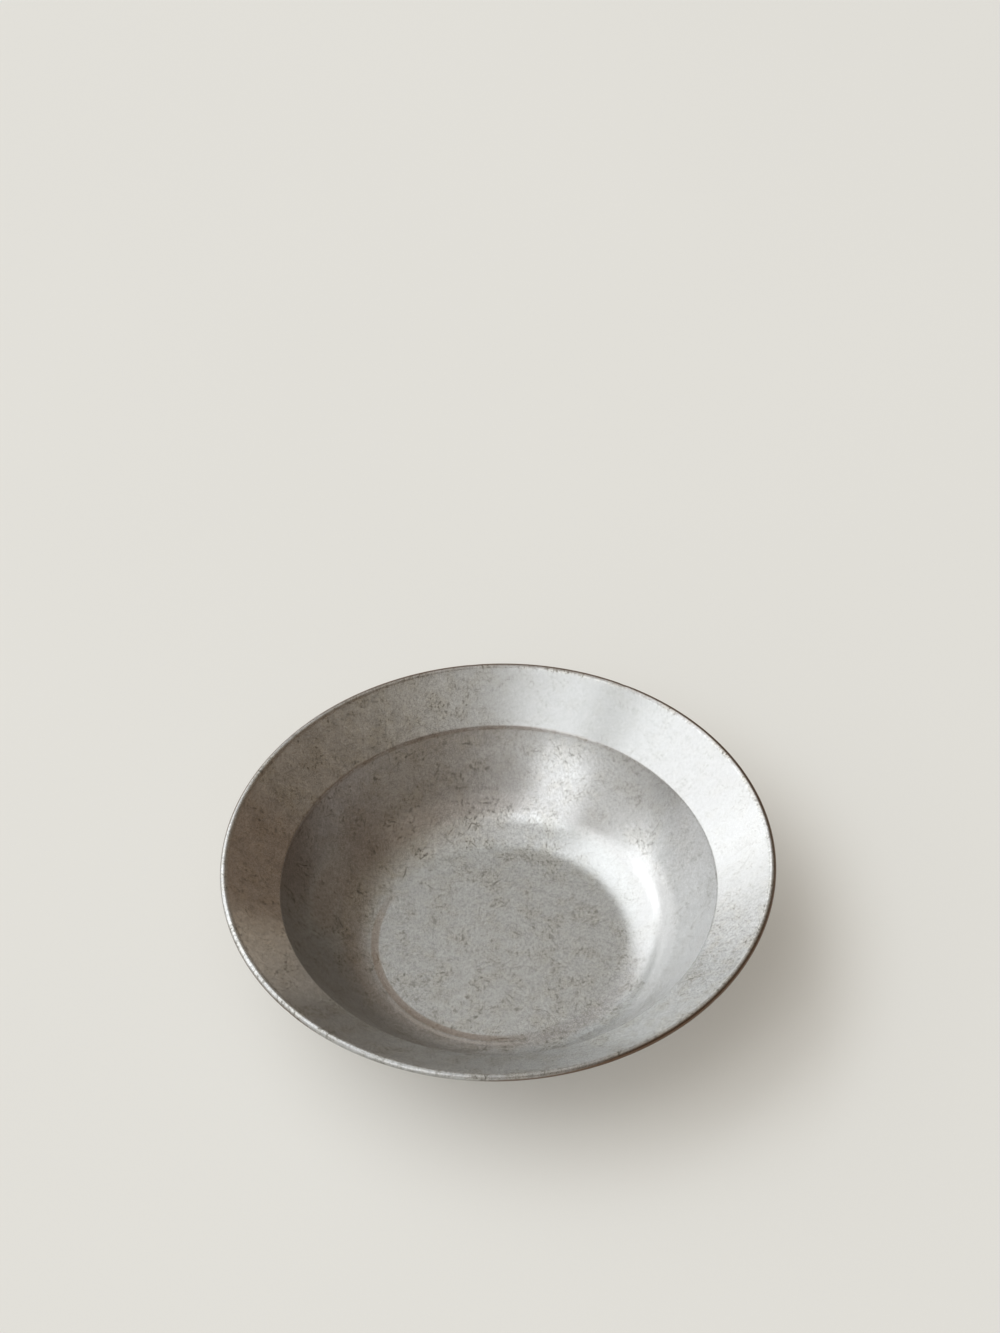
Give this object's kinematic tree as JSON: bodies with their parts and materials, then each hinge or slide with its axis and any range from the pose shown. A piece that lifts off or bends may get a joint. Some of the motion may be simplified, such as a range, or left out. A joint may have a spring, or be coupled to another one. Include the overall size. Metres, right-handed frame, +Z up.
{
  "type": "deep plate",
  "caption": "Round deep steel plate with a wide conical rim, a rolled edge, a rounded wall and a flat floor, for serving soup, pasta or salad.",
  "frame": {"origin": "centre of the flat underside, on the plate's axis, at the level it stands on", "axes": "+Z up along the plate's axis; X and Y are level, and any direction about Z is alike"},
  "size_m": [0.22, 0.22, 0.05],
  "materials": {
    "antiqued_steel": "satin stainless steel with an antiqued, stone-tumbled surface: fine dark specks, short hairline scratches and a warm patina in places"
  },
  "bodies": {
    "root": {"dish": "antiqued_steel"}
  },
  "joints": []
}
